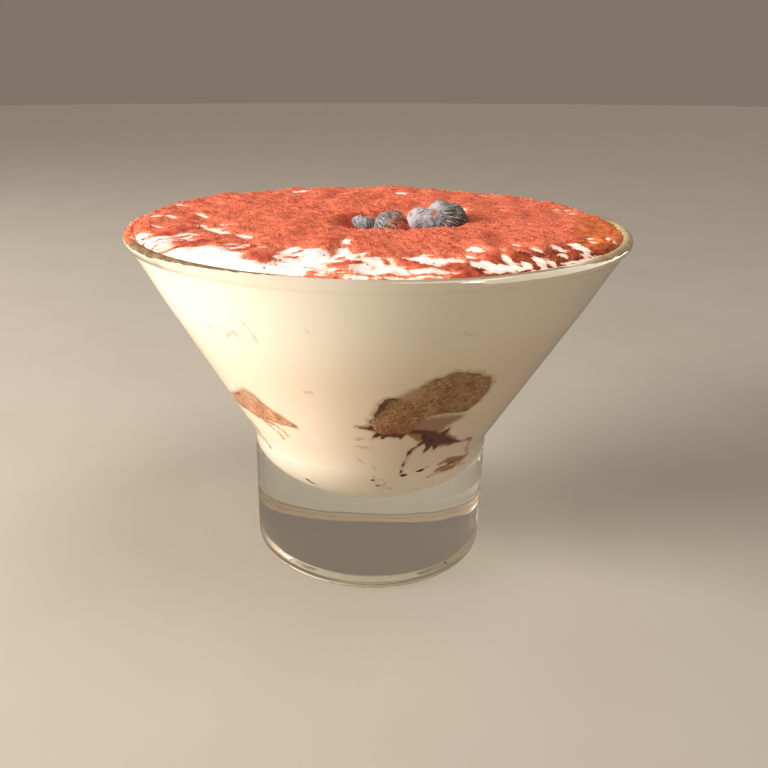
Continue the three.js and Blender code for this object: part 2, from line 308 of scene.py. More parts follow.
def arc(r, z, radius, start, end, steps):
    """Points (r + radius cos a, z + radius sin a) for a from start to end in degrees."""
    a = np.radians(np.linspace(start, end, steps))
    return np.stack([r + radius * np.cos(a), z + radius * np.sin(a)], axis=1)


def turned(r, a, z):
    """Points (r sin a, -r cos a, z), with a in radians."""
    return np.stack(np.broadcast_arrays(r * np.sin(a), -r * np.cos(a), z), axis=-1)


def around(profile, columns):
    """A profile of (r, z) points carried round the axis."""
    return turned(profile[:, :1], np.linspace(0, 2 * np.pi, columns, endpoint=False), profile[:, 1:])


def level(radii):
    """Profile points at height 0."""
    return np.stack([radii, 0 * radii], axis=1)


def polar(x, y):
    """Radius, and azimuth in degrees."""
    return np.hypot(x, y), np.degrees(np.arctan2(x, -y))


def in_scene(name, data, place=(0, 0, 0), turn=(0, 0, 0)):
    """An object in the scene for a finished mesh, lamp or camera, its turn in radians."""
    made = bpy.data.objects.new(name, data)
    made.location, made.rotation_euler = place, turn
    bpy.context.scene.collection.objects.link(made)
    return made


def new_mesh(name, points, faces):
    """A mesh from points in mm and lists of corners."""
    mesh = bpy.data.meshes.new(name)
    mesh.from_pydata((points.reshape(-1, 3) * MM).tolist(), [], faces)
    mesh.update()
    return mesh


def closed_surface(name, grid, first, last, fields=None):
    """A mesh from a grid of points in mm that closes round its columns, with a single
    point closing each end. fields are values on the grid, kept as point attributes."""
    rows, columns = grid.shape[:2]
    points = np.concatenate([grid.reshape(-1, 3), [first, last]])
    index = np.arange(rows * columns).reshape(rows, columns)
    beside = np.roll(index, -1, axis=1)
    quads = np.stack([index[:-1], beside[:-1], beside[1:], index[1:]], axis=2).reshape(-1, 4)
    low_pole, high_pole = rows * columns, rows * columns + 1
    below = np.stack([beside[0], index[0], np.full(columns, low_pole)], axis=1)
    above = np.stack([index[-1], beside[-1], np.full(columns, high_pole)], axis=1)
    mesh = new_mesh(name, points, quads.tolist() + below.tolist() + above.tolist())
    mesh.polygons.foreach_set("use_smooth", np.ones(len(mesh.polygons), bool))
    for field, values in (fields or {}).items():
        layer = mesh.attributes.new(field, "FLOAT", "POINT")
        ends = [values[0].mean(), values[-1].mean()]
        layer.data.foreach_set("value", np.concatenate([values.ravel(), ends]).astype(np.float32))
    mesh.update()
    return in_scene(name, mesh)


def dress(piece, material, slot, *nodes):
    """Gives a piece its material, and lets it ride and stand for CAD nodes. The slot is not used."""
    piece.data.materials.append(material)
    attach(piece, "root")
    if nodes:
        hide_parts(*nodes)


# ---- the top of the cream -----------------------------------------------------------


def well_share(x, y):
    """1 in the middle of the well and 0 outside it: (1.25 (1 - u^2 - v^2))^1.2 within
    the turned ellipse of half length and half width."""
    dx, dy = x - WELL_X, y - WELL_Y
    u = (dx * math.cos(WELL_TURN) + dy * math.sin(WELL_TURN)) / WELL_HALF_LENGTH
    v = (-dx * math.sin(WELL_TURN) + dy * math.cos(WELL_TURN)) / WELL_HALF_WIDTH
    return np.minimum(1, 1.25 * np.maximum(0, 1 - u * u - v * v)) ** 1.2


def shoulder_share(r):
    """1 on the flat of the top, falling as a quarter ellipse to 0 at the wall."""
    s = np.clip((r - (CONTACT_RADIUS - SHOULDER_WIDTH)) / SHOULDER_WIDTH, 0, 1)
    return np.sqrt(1 - s * s)


def cream_top(x, y):
    """Height of the cream: contact height plus the flat top's rise times the shoulder's
    share. The rise has a tilt, broad swells, spoon lumps and the well."""
    spot = np.stack([x, y], axis=-1)
    swell = sum(h * np.sin(kx * x + ky * y + p) for h, kx, ky, p in SWELLS)
    lumps = 0.17 * ripple(spot, 9.5, 11) + 0.1 * ripple(spot, 5.2, 12) + 0.035 * ripple(spot, 2.6, 13)
    rise = CROWN + TILT_X * x + TILT_Y * y + swell + lumps - WELL_DEPTH * well_share(x, y)
    return CONTACT_Z + (CONTACT_DROP + rise) * shoulder_share(np.hypot(x, y))


# ---- the cocoa's cover --------------------------------------------------------------


def with_stretch(field, px, py, dx, dy, start, end):
    """The larger of a field and (width - distance) to the straight stretch (dx, dy), for
    points (px, py) from its first end. The width runs evenly from start to end."""
    t = np.clip((px * dx + py * dy) / max(dx * dx + dy * dy, 1e-6), 0, 1)
    return np.maximum(field, start + (end - start) * t - np.hypot(px - t * dx, py - t * dy))


def runs_field(x, y, runs):
    """How far inside any of the runs a point lies, in mm and negative outside."""
    field = np.full(x.shape, -9.0)
    for run in runs:
        for (x0, y0, start), (x1, y1, end) in zip(run[:-1], run[1:]):
            field = with_stretch(field, x - x0, y - y0, x1 - x0, y1 - y0, start, end)
    return field


def drawn_out(x, y):
    """Points (55 x/r, 55 y/r, 0.42 r): a ripple taken on them is drawn out away from the
    middle, as the edges of the cocoa are near the glass."""
    r = np.maximum(np.hypot(x, y), 0.001)
    return np.stack([55 * x / r, 55 * y / r, 0.42 * r], axis=-1)


def cocoa_cover(x, y):
    """How far inside the cocoa's edge a point lies, in mm and positive under cocoa: the
    distance out of the bare runs, roughened at three sizes and blotted where it is rubbed
    at the left, or the distance into the islands."""
    spot = drawn_out(x, y)
    r, azimuth = polar(x, y)
    fine = 0.26 * ripple(spot, 1.1, 23) + 0.34 * ripple(spot, 2.2, 22)
    bare, island = runs_field(x, y, BARE), runs_field(x, y, ISLANDS)
    cover = -1.25 * bare - 0.9 * smooth_step(-0.2, 0.7, bare) + fine + 0.3 * ripple(spot, 4.6, 21)
    rubbed = hump(azimuth, -56, 19, 4) * smooth_step(40, 48, r)
    blots = ripple(spot, 1.7, 24) - smooth_step(0.3, 1.6, ripple(spot, 2.6, 25))
    cover = np.maximum(cover, 2.4 * rubbed - FAR).clip(-FAR, FAR) + 0.9 * rubbed * blots
    cover = np.maximum(cover, 1.2 * island + 0.6 * smooth_step(-0.1, 0.3, island) + 0.7 * fine)
    return np.clip(cover, -FAR, FAR)


def damp_and_well_shade(x, y):
    """Share of dark cocoa: damp along the glass at the right front and at the left, a little
    on the islands of thick cocoa, and painted shade on the well's left wall."""
    r, azimuth = polar(x, y)
    front = 0.95 * hump(azimuth, 44, 27, 4) * smooth_step(46.5, 55, r)
    island = 0.40 * smooth_step(-0.6, 0.8, runs_field(x, y, ISLANDS))
    left = 0.18 * hump(azimuth, -52, 18, 4) * smooth_step(42, 52, r)
    # painted shade: the well's left wall, darkened like damp cocoa
    well = 0.36 * hump(np.hypot((x + 6) / 6, (y - 4) / 10), 0, 1)
    patches = 0.07 * ripple(drawn_out(x, y), 3.0, 27)
    return np.clip(np.max([front, left, island, well], axis=0) + patches * smooth_step(40, 52, r), 0, 1)


def soaking(x, y):
    """Share of cocoa soaked to a smooth amber, at the right end."""
    r, azimuth = polar(x, y)
    patches = 0.08 * ripple(np.stack([x, y], axis=-1), 3.0, 30) * smooth_step(44, 50, r)
    return np.clip(hump(azimuth, 80, 23, 4) * smooth_step(46, 57, r) + patches, 0, 1)


def rim_band(azimuth):
    """How far down the glass, in mm, cocoa has slipped between the cream and the wall:
    nothing in front, most of it behind."""
    turns = (0, 60, 100, 115, 180, 255, 272, 290, 310, 360)
    depths = (-3.0, -3.0, -1.4, 1.2, 2.0, 1.8, 0.5, -1.4, -3.0, -3.0)
    return np.interp(np.mod(azimuth, 360), turns, depths)


# ---- marks on the cream where it lies against the glass ----------------------------

# Each stroke is a run of (height, azimuth, radius in mm).
COFFEE = (
    ((49.4, 20, 1.2), (47.6, 23, 2.1), (46.2, 27, 1.9), (45, 31.5, 1.2), (43.9, 37, 0.6),
     (43, 42.3, 0.12)),
    ((46.8, 25.5, 1.8), (44.2, 27.3, 0.9), (42.6, 26.8, 0.12)),
    ((46.8, 24, 1.6), (43.8, 23.6, 0.7), (42.2, 22.6, 0.12)),
    ((47.4, 26, 1.6), (48.9, 28.4, 0.7), (50.2, 29.2, 0.12)),
    ((47, 23.6, 1.3), (45.9, 20, 0.6), (44.6, 18, 0.35), (43.4, 16.4, 0.5)),
    ((43.4, 16.4, 0.5), (41.2, 15.9, 0.18), (38.9, 15.4, 0.12), (36.2, 15.1, 0.1), (34, 15.6, 0.14)),
    ((50.9, 8.8, 0.9), (50.6, 13, 0.9), (50.2, 18, 0.8), (48.8, 23, 1.2)),
    ((51.4, 5.6, 1.4), (52, 1.4, 0.9), (52.4, -4.6, 0.12)),
    ((53.2, 3.6, 1.3), (54.4, 0.6, 0.5), (54.9, -0.9, 0.1)),
    ((50.9, 4.4, 1.2), (49.2, 1.9, 0.4), (48.4, 1, 0.1)),
    ((50.3, 7.5, 1.1), (49, 5, 0.4), (48.4, 4.4, 0.1)),
    ((49.9, 7, 0.9), (49.2, 10.6, 0.8)),
    ((51.4, 6, 1), (52.8, 8.6, 0.7)),
    ((49.1, 11.5, 0.6), (48, 11, 0.12)),
    ((35.4, 39.6, 0.35), (34.2, 44, 0.5), (33.6, 49, 0.2)),
    ((43.6, -59.5, 0.45), (42, -58.6, 0.4), (40, -58.8, 0.15)),
    ((38.8, -59.2, 0.15), (37, -57.4, 0.2), (34.4, -57.8, 0.4)),
    ((56, 118, 0.7), (52.5, 112, 0.4), (49, 108, 0.12)),
    ((52, 128, 1.4), (49.5, 133, 0.8), (47, 141, 0.15)),
    ((45.2, -134, 1), (42, -131, 0.4), (38.5, -129, 0.12)),
)
# Painted shade: a brown lens-shaped wash under the front right ladyfinger, where its underside is in
# shadow.
UNDER_FINGER_SHADE = (
    ((51.4, 12, 1.6), (52.4, 18, 2.6), (52.6, 23, 2.8), (53, 27, 2.2), (53.4, 31, 1.2)),
    ((51, 20, 2), (50.4, 25, 1.6)),
)
TAN = (
    ((49.4, 15.5, 1), (48.4, 20, 2.4), (46.4, 27, 2.9), (44.4, 34, 1.6)),
    ((35.8, 35.8, 0.7), (36.6, 39, 1.2), (35.3, 45, 1.8), (33.8, 52.5, 1.6), (34, 57.5, 0.7)),
    ((33.2, 37, 1), (32, 43, 1.2), (31.6, 49, 0.8)),
    ((31.4, 52, 0.8), (30.6, 60, 0.3)),
    ((33.6, 57.5, 0.3), (39.4, 48, 0.25), (42.2, 47.6, 0.6), (43.6, 43.5, 0.4)),
    ((30.4, 32.2, 0.25), (31.3, 35.6, 0.4), (31.4, 39.4, 0.35)),
    ((50, -31, 0.9), (49.6, -27.6, 0.7)),
    ((48.2, -43.6, 0.25), (47.9, -37.9, 0.3), (46.6, -34.5, 0.2), (45, -33.7, 0.12)),
    ((47.2, -42.4, 0.2), (45.4, -38.4, 0.25), (43.4, -37.1, 0.12)),
    ((56.2, 108, 1.2), (54, 116, 1.5), (53, 124, 0.8)),
    ((36, 150, 0.9), (34, 158, 1.2), (33, 166, 0.4)),
)
SPECKS = (
    ((34, 15.2, 0.4), (33.2, 17.1, 0.85), (33.5, 19.6, 0.4)),
    ((33.2, 13.2, 0.12), (33.3, 16, 0.3)),
    ((34, 23.3, 0.5), (34.5, 26.3, 0.75), (35.6, 29.2, 0.3)),
    ((31.9, 1.7, 0.35), (31.2, 3.8, 0.5)),
    ((31.6, 7.2, 0.3), (31.2, 7.7, 0.38)),
    ((27.4, -38.6, 0.7), (26.4, -37, 0.5), (26, -34, 0.15)),
    ((25.6, -22.6, 0.35), (25.7, -20.8, 0.5)),
    ((29.5, 4, 0.2), (29.2, 6, 0.3)),
    ((28.6, 15.4, 0.3), (28.8, 16.6, 0.25)),
    ((27.6, 6.2, 0.4), (27.4, 8, 0.25)),
    ((26.5, 10.2, 0.25), (26.9, 12, 0.2)),
    ((31, 150, 0.6), (30.6, 153, 0.4)),
    ((29, -150, 0.5), (29, -152, 0.3)),
)
FAINT = (
    ((76.4, -41.9, 0.6), (75.4, -41, 0.5)),
    ((74.5, -37, 0.35), (76.3, -34.4, 0.5), (76.9, -32.9, 0.4), (75.2, -32.6, 0.4), (73.7, -32.4, 0.2)),
    ((80.2, -29.2, 0.2), (78.7, -28, 0.45), (77, -27.4, 0.4), (75, -27, 0.2)),
    ((79.9, -13.7, 0.25), (79, -13, 0.2)),
    ((62.3, -18.5, 0.35), (62.2, -16.4, 0.3)),
    ((79.6, 19.8, 0.25), (78.8, 21.3, 0.3), (78.7, 22.6, 0.15)),
    ((48, -4.6, 0.5), (48.4, -2.6, 0.5)),
    ((45.6, -5, 0.4), (45.2, -1.4, 0.55), (45.1, 1.1, 0.3)),
    ((41.8, -5.7, 0.2), (39.7, -2.9, 0.3), (38.2, 1.4, 0.2), (35, 4, 0.2)),
    ((33.7, 0.7, 0.25), (32, 4.5, 0.3), (30.6, 9.5, 0.25)),
    ((30.4, 3, 0.3), (28, 9, 0.3), (28.6, 14.5, 0.3)),
    ((29.4, 8, 0.25), (26.6, 14, 0.25)),
    ((43, -22, 0.2), (41.6, -21.4, 0.2)),
    ((70, 118, 0.4), (71.4, 122, 0.3), (70.6, 125, 0.2)),
    ((66, -118, 0.4), (64.6, -114, 0.3)),
)


def past(azimuth, at):
    """Degrees from one azimuth on to another, -180 to 180."""
    return np.mod(azimuth - at + 180, 360) - 180


def strokes_field(azimuth, z, strokes):
    """How far inside any of the strokes a point of the wall lies, in mm and negative
    outside."""
    field = np.full(azimuth.shape, -FAR, float)
    for stroke in strokes:
        for (z0, a0, start), (z1, a1, end) in zip(stroke[:-1], stroke[1:]):
            scale = math.radians(1) * inner_radius(max((z0 + z1) / 2, NECK_Z))
            px, py = past(azimuth, a0) * scale, (z - z0) / math.cos(FLARE)
            dx, dy = (a1 - a0) * scale, (z1 - z0) / math.cos(FLARE)
            field = with_stretch(field, px, py, dx, dy, start, end)
    return field


def finger_edge(radii, angle):
    """Radius of a ladyfinger's outline at an angle: its radii joined by cosines."""
    table = np.array(radii)
    place = np.mod(angle / (2 * np.pi), 1) * len(table)
    low = np.floor(place).astype(int) % len(table)
    share = 0.5 - 0.5 * np.cos(np.pi * (place - np.floor(place)))
    return table[low] * (1 - share) + table[(low + 1) % len(table)] * share


def finger_field(azimuth, z):
    """How far inside the nearest ladyfinger's outline a point of the wall lies, in mm."""
    field = np.full(azimuth.shape, -6.0)
    for at, height, turn, _deep, radii in FINGERS.values():
        s = past(azimuth, at) * math.radians(1) * inner_radius(height)
        t = (z - height) / math.cos(FLARE)
        tilt = math.radians(turn)
        a, b = s * math.cos(tilt) + t * math.sin(tilt), t * math.cos(tilt) - s * math.sin(tilt)
        field = np.maximum(field, finger_edge(radii, np.arctan2(b, a)) - np.hypot(a, b))
    return field


# ---- the pieces ---------------------------------------------------------------------


def outer_flank(low, high, steps):
    """The outside of the cone between two heights, with the faint hollow, 0.42 mm deep,
    under its rolled lip."""
    z = np.linspace(low, high, steps)
    hollow = 0.42 * smooth_step(75, 86.5, z) * smooth_step(90.0, 88.8, z)
    return np.stack([outer_radius(z) - hollow, z], axis=1)


def make_glass():
    """The glass: its profile of arcs and straight flanks turned about the axis, a faint
    hollow under the rolled lip, and a slow waviness of a few hundredths of a millimetre
    in the pressed foot."""
    flare = math.degrees(FLARE)
    fillet_z = NECK_Z - NECK_FILLET * math.tan(FLARE / 2)
    under = np.linspace(0.05, 1, 14)
    base = np.linspace(HEEL_RADIUS + 2, fillet_z - 2, 10)
    inside = np.linspace(LIP_Z - 3, NECK_Z + 3, 14)
    profile = np.concatenate(
        [
            np.stack([RECESS_RADIUS * under, RECESS_DEPTH + RECESS_DOME * (1 - under**2)], axis=1),
            arc(RECESS_RADIUS + 0.3, RECESS_DEPTH - 0.5, 0.5, 90, 20, 4),
            arc(FOOT_RING_INNER + 0.4, 0.4, 0.4, 200, 270, 4),
            arc(BASE_RADIUS - HEEL_RADIUS, HEEL_RADIUS, HEEL_RADIUS, -90, 0, 12),
            np.stack([0 * base + BASE_RADIUS, base], axis=1),
            arc(BASE_RADIUS + NECK_FILLET, fillet_z, NECK_FILLET, 180, 180 - flare, 7),
            outer_flank(NECK_Z + 4, 85, 24),
            outer_flank(85.4, LIP_Z - 0.7, 20),
            arc(LIP_R, LIP_Z, LIP_RADIUS, -flare, 180 - flare, 17),
            np.stack([inner_radius(inside), inside], axis=1),
            arc(0, BOWL_CENTRE_Z, BOWL_RADIUS, BOWL_START, -88, 16),
        ]
    )
    grid = around(profile, GLASS_COLUMNS)
    foot = smooth_step(NECK_Z + 12, NECK_Z - 4, grid[..., 2])
    wave = foot * (0.035 * ripple(grid, 14, 41) + 0.012 * ripple(grid, 5, 42))
    push = 1 + wave / np.maximum(np.hypot(grid[..., 0], grid[..., 1]), 12)
    grid[..., :2] *= push[..., None]
    grid[..., 2] += np.where(grid[..., 2] > 0.3, 0.5 * wave, 0)
    return closed_surface("glass_vessel", grid, (0, 0, RECESS_DEPTH + RECESS_DOME), (0, 0, FLOOR_Z))


def top_rings(count_flat, count_shoulder):
    """Radii from the wall inwards: close together on the shoulder, then even."""
    turn = np.linspace(0, math.pi / 2, count_shoulder, endpoint=False)
    shoulder = CONTACT_RADIUS - SHOULDER_WIDTH * (1 - np.cos(turn))
    return np.concatenate([shoulder, np.linspace(CONTACT_RADIUS - SHOULDER_WIDTH, 0.8, count_flat)])


def make_cream():
    """The cream: the bowl and the cone of the glass grown into the wall, closed by the
    uneven top. It carries the cocoa's cover and the distances to its marks."""
    cone = np.linspace(NECK_Z + 0.7, CONTACT_Z, 86)
    bowl = arc(0, BOWL_CENTRE_Z, BOWL_RADIUS + INTO_WALL, -88, BOWL_START, 22)
    cone = np.stack([inner_radius(cone) + INTO_WALL / math.cos(FLARE), cone], axis=1)
    wall = np.concatenate([bowl, cone])
    grid = around(np.concatenate([wall, level(top_rings(44, 24)[1:])]), CREAM_COLUMNS)
    top = grid[len(wall) :]
    top[..., 2] = cream_top(top[..., 0], top[..., 1])
    x, y, z = np.moveaxis(grid, -1, 0)
    _r, azimuth = polar(x, y)
    on_wall = np.broadcast_to(np.arange(len(grid))[:, None] < len(wall), x.shape)
    slipped = 1.6 * (z - CONTACT_Z + rim_band(azimuth))
    slipped += 0.7 * ripple(grid, 3.5, 28) + 0.4 * ripple(grid, 1.5, 29)
    fields = {
        "cover": np.where(on_wall, np.clip(slipped, -FAR, FAR), cocoa_cover(x, y)),
        "damp_and_shade": np.where(on_wall, 0, damp_and_well_shade(x, y)),
        "soaked": np.where(on_wall, 0, soaking(x, y)),
        "finger": np.where(on_wall, finger_field(azimuth, z), -6),
        "wall": np.where(on_wall, 1.0, 0.0),
    }
    marks = {"coffee": COFFEE, "tan": TAN, "lens": UNDER_FINGER_SHADE, "specks": SPECKS, "faint": FAINT}
    for name, strokes in marks.items():
        fields[name] = np.where(on_wall, strokes_field(azimuth, z, strokes), -FAR)
    middle = float(cream_top(np.array(0.0), np.array(0.0)))
    return closed_surface("cream_body", grid, (0, 0, FLOOR_Z - INTO_WALL), (0, 0, middle), fields)


def cocoa_height(x, y):
    """Top of the cocoa: the cream's top plus a powdery thickness where it is covered,
    and a little under the cream where it is bare."""
    spot = np.stack([x, y], axis=-1)
    grainy = 0.08 * ripple(spot, 2.7, 51) + 0.045 * ripple(spot, 1.25, 52, 40)
    covered = smooth_step(-0.3, 2.0, cocoa_cover(x, y))
    return cream_top(x, y) - COCOA_SINK + covered * (COCOA_SINK + COCOA_THICKNESS + grainy)


def make_cocoa():
    """The cocoa: a closed skin over the top of the cream, its underside inside the cream
    and its outer edge drawn in by up to half a millimetre where it is bare."""
    rings = top_rings(78, 42)
    top = around(level(rings), COCOA_COLUMNS)
    bare = 1 - smooth_step(-0.3, 1.2, cocoa_cover(top[..., 0], top[..., 1]))
    drawn_in = bare * smooth_step(CONTACT_RADIUS - 4, CONTACT_RADIUS, rings)[:, None]
    top[..., 2] = cocoa_height(top[..., 0], top[..., 1])
    top[..., :2] *= 1 - 0.008 * drawn_in[..., None]
    under = around(level(np.linspace(2, CONTACT_RADIUS - 0.6, 26)), COCOA_COLUMNS)
    under[..., 2] = cream_top(under[..., 0], under[..., 1]) - 0.7
    grid = np.concatenate([under, top])
    makers = {"cover": cocoa_cover, "damp_and_shade": damp_and_well_shade, "soaked": soaking}
    fields = {name: make(grid[..., 0], grid[..., 1]) for name, make in makers.items()}
    middle = float(cocoa_height(np.array(0.0), np.array(0.0)))
    return closed_surface("cocoa_skin", grid, (0, 0, middle - 1.1), (0, 0, middle), fields)


def lip_section(start, reach, outwards, back):
    """The section of a strip on the lip, out over its top and back under it: the share of
    the reach, 1 above and 0 below, and the angle on the lip, which falls from the start
    by the reach in degrees."""
    share = np.concatenate([np.linspace(0, 1, outwards), np.linspace(1, 0, back)])[None, :]
    above = np.repeat([1.0, 0.0], [outwards, back])[None, :]
    return share, above, np.radians(start - reach[:, None] * share)


def strip_on_lip(name, azimuth, angle, radius, fields):
    """A strip of points at an angle and a radius round the middle of the lip's section."""
    r, z = LIP_R + radius * np.cos(angle), LIP_Z + radius * np.sin(angle)
    grid = turned(r, np.radians(azimuth)[:, None], z)
    fields = {key: value + 0 * z for key, value in fields.items()}
    return closed_surface(name, grid, grid[0].mean(axis=0), grid[-1].mean(axis=0), fields)


def make_cocoa_on_rim():
    """Cocoa that lies on the glass lip behind: a strip whose section follows the lip from
    the cream outwards, at radius lip + thickness above and just over the lip below. Its
    outer edge is ragged and its two ends draw in to nothing."""
    azimuth = np.linspace(106, 303, 900)
    taper = smooth_step(106, 124, azimuth) * smooth_step(303, 288, azimuth)
    ring = turned(60, np.radians(azimuth), 0)[:, :2]
    reach = (0.25 + 0.75 * taper) * (66 + 13 * ripple(ring, 5.0, 54) + 9 * ripple(ring, 1.6, 55))
    share, above, angle = lip_section(152, np.clip(reach, 5, 96), 10, 8)
    heap = 0.42 * (0.3 + 0.7 * taper)[:, None] * (1 - share**2) ** 0.5 + 0.03
    flat = np.stack([ring[:, None, 0] + 0 * angle, ring[:, None, 1] + 1.6 * angle], axis=-1)
    heap = heap * (1 + 0.30 * ripple(flat, 1.5, 56) + 0.22 * ripple(flat, 0.7, 57))
    fields = {
        "cover": 3 - 2.6 * above * share - 2.2 * (1 - taper)[:, None],
        "damp_and_shade": 0,
        "soaked": 0.35 * smooth_step(268, 286, azimuth)[:, None],
    }
    radius = LIP_RADIUS + 0.015 + above * np.maximum(heap, 0.02)
    return strip_on_lip("cocoa_on_rim", azimuth, angle, radius, fields)


def make_film_on_rim(name, turns, reaches, thickness, seed):
    """A sheet on the glass lip, which carries painted shade and painted highlight of the lip,
    and cocoa: a thin strip whose section follows the lip from the cream outwards over
    the given reach in degrees, thinning towards its uneven outer edge. Its orange share
    is 1 beside the cream and beyond the azimuth -70."""
    azimuth = np.linspace(turns[0], turns[-1], 460)
    ring = turned(60, np.radians(azimuth), 0)[:, :2]
    reach = np.interp(azimuth, turns, reaches)
    reach += 3.0 * ripple(ring, 4.0, seed) + 1.5 * ripple(ring, 1.5, seed + 1)
    share, above, angle = lip_section(154, np.maximum(reach, 3), 16, 16)
    radius = LIP_RADIUS + 0.012 + above * thickness * (0.4 + 0.6 * (1 - share**2) ** 0.5)
    orange = np.maximum(smooth_step(-52, -70, azimuth)[:, None], smooth_step(0.24, 0.06, share))
    return strip_on_lip(name, azimuth, angle, radius, {"orange": orange})


def off_wall(azimuth, height, inward):
    """Points square off the inside of the glass, inwards from a height and an azimuth in
    radians."""
    r = inner_radius(height) - inward * math.cos(FLARE)
    return turned(r, azimuth, height + inward * math.sin(FLARE))


def make_ladyfinger(name, azimuth, height, turn, deep, radii, seed):
    """A soaked ladyfinger in wall coordinates (along the wall, up its slope, inwards):
    a flat face a little inside the glass, ragged towards its outline, and a rounded
    back, inward = deep sin b with the outline shrinking as cos b."""
    face_at, outline_at = -0.17, 0.42
    phi = np.linspace(0, 2 * np.pi, FINGER_COLUMNS, endpoint=False)
    face = np.linspace(1, 0.03, 46) ** 0.8
    back = np.linspace(math.pi / 2, 0, 15)[1:-1]
    share = np.concatenate([np.cos(back), face])[:, None]
    front = face_at + (outline_at - face_at) * smooth_step(0.9, 1, face)
    inward = np.concatenate([outline_at + deep * np.sin(back), front])[:, None] + 0 * phi
    out = 1.06 * finger_edge(radii, phi) * share
    a, b = out * np.cos(phi), out * np.sin(phi)
    flat = np.stack([a, b], axis=-1)
    near_edge = smooth_step(0.7, 1.0, share) * (inward < 0.5)
    inward += near_edge * 0.045 * (ripple(flat, 3.0, seed) + 0.7 * ripple(flat, 1.3, seed + 1))
    tilt, azimuth = math.radians(turn), math.radians(azimuth)
    s, t = a * math.cos(tilt) - b * math.sin(tilt), a * math.sin(tilt) + b * math.cos(tilt)
    grid = off_wall(azimuth + s / inner_radius(height), height + t * math.cos(FLARE), inward)
    fields = {"inside": (1 - share) * finger_edge(radii, phi), "along": a, "across": b}
    first, last = (off_wall(azimuth, height, depth) for depth in (outline_at + deep, face_at))
    return closed_surface(f"ladyfinger_{name}_sponge", grid, first, last, fields)


def make_blueberry(number, at, radius, crown_azimuth, crown_rise, bloom_and_light, lit_side_way, dust, dust_way, lines):
    """A berry: a ball squashed along its crown axis, with a five-lobed calyx round a pit
    at the crown, a small round scar at the stem end and a puckered skin with shallow,
    broken folds from the stem. Bloom grows along its way, towards the lit upper left as
    painted light, and dust grows along its own way over the berry."""
    theta = np.linspace(math.pi, 0, BERRY_ROWS + 2)[1:-1][:, None]
    phi = np.linspace(0, 2 * np.pi, BERRY_COLUMNS, endpoint=False)[None, :]
    off_axis = np.sin(theta)
    unit = np.broadcast_arrays(off_axis * np.cos(phi), off_axis * np.sin(phi), np.cos(theta))
    unit = np.stack(unit, axis=-1)
    from_crown = np.degrees(theta)
    from_stem = 180 - from_crown
    lobes = 0.5 + 0.5 * np.cos(5 * phi)
    calyx = 0.075 * hump(from_crown, 20 + 5 * lobes, 5.5) * (0.45 + 0.55 * lobes)
    pit = -0.16 * hump(from_crown, 0, 14)
    scar = -0.035 * hump(from_stem, 0, 6) + 0.008 * hump(from_stem, 11, 3.5)
    pucker = 0.016 * ripple(unit, 0.5, 60 + number) + 0.026 * ripple(unit, 1.1, 70 + number)
    pucker = pucker - 0.02 * np.maximum(0, 0.5 - np.abs(ripple(unit, 1.3, 65 + number)))
    rng = np.random.default_rng(75 + number)
    streaks, folds = np.zeros(unit.shape[:2]), 16
    for _ in range(folds):
        turns, twist, phase = rng.integers(18, 74), rng.uniform(-12, 12), rng.uniform(0, 2 * np.pi)
        streaks += np.sin(turns * phi + twist * theta + phase)
    broken = 0.95 + 0.45 * ripple(unit, 0.5, 85 + number)
    streaks = lines * streaks * math.sqrt(2 / folds) * off_axis * broken
    grid = unit * (radius * (1 + calyx + pit + scar + pucker + 0.006 * streaks))[..., None]
    grid[..., 2] *= BERRY_SQUASH
    rise = math.radians(crown_rise)
    up = turned(math.cos(rise), math.radians(crown_azimuth), math.sin(rise))
    side = np.cross([0.0, 0.0, 1.0], up)
    side /= np.linalg.norm(side)
    grid = grid @ np.stack([side, np.cross(up, side), up])
    fields = {
        "from_stem": np.broadcast_to(from_stem, grid.shape[:2]),
        "from_crown": np.broadcast_to(from_crown, grid.shape[:2]),
        "streaks": streaks,
        # Bloom, thicker and paler towards the lit upper left as painted light
        "bloom_and_light": bloom_and_light + grid / radius @ np.array(lit_side_way),
        "dust": dust + grid / radius @ np.array(dust_way),
    }
    low, high = (np.array(at) + up * radius * BERRY_SQUASH * share for share in (-0.955, 0.84))
    return closed_surface(f"blueberry_{number}_skin", grid + np.array(at), low, high, fields)


GRAIN_SHAPE = np.array(
    [(0, 0, 1)]
    + [(0.9, 0, 0.3), (0.28, 0.85, 0.3), (-0.73, 0.53, 0.3), (-0.73, -0.53, 0.3), (0.28, -0.85, 0.3)]
    + [(0, 0, -0.8)]
)
GRAIN_FACES = np.array(
    [(0, 1, 2), (0, 2, 3), (0, 3, 4), (0, 4, 5), (0, 5, 1)]
    + [(6, 2, 1), (6, 3, 2), (6, 4, 3), (6, 5, 4), (6, 1, 5)]
)


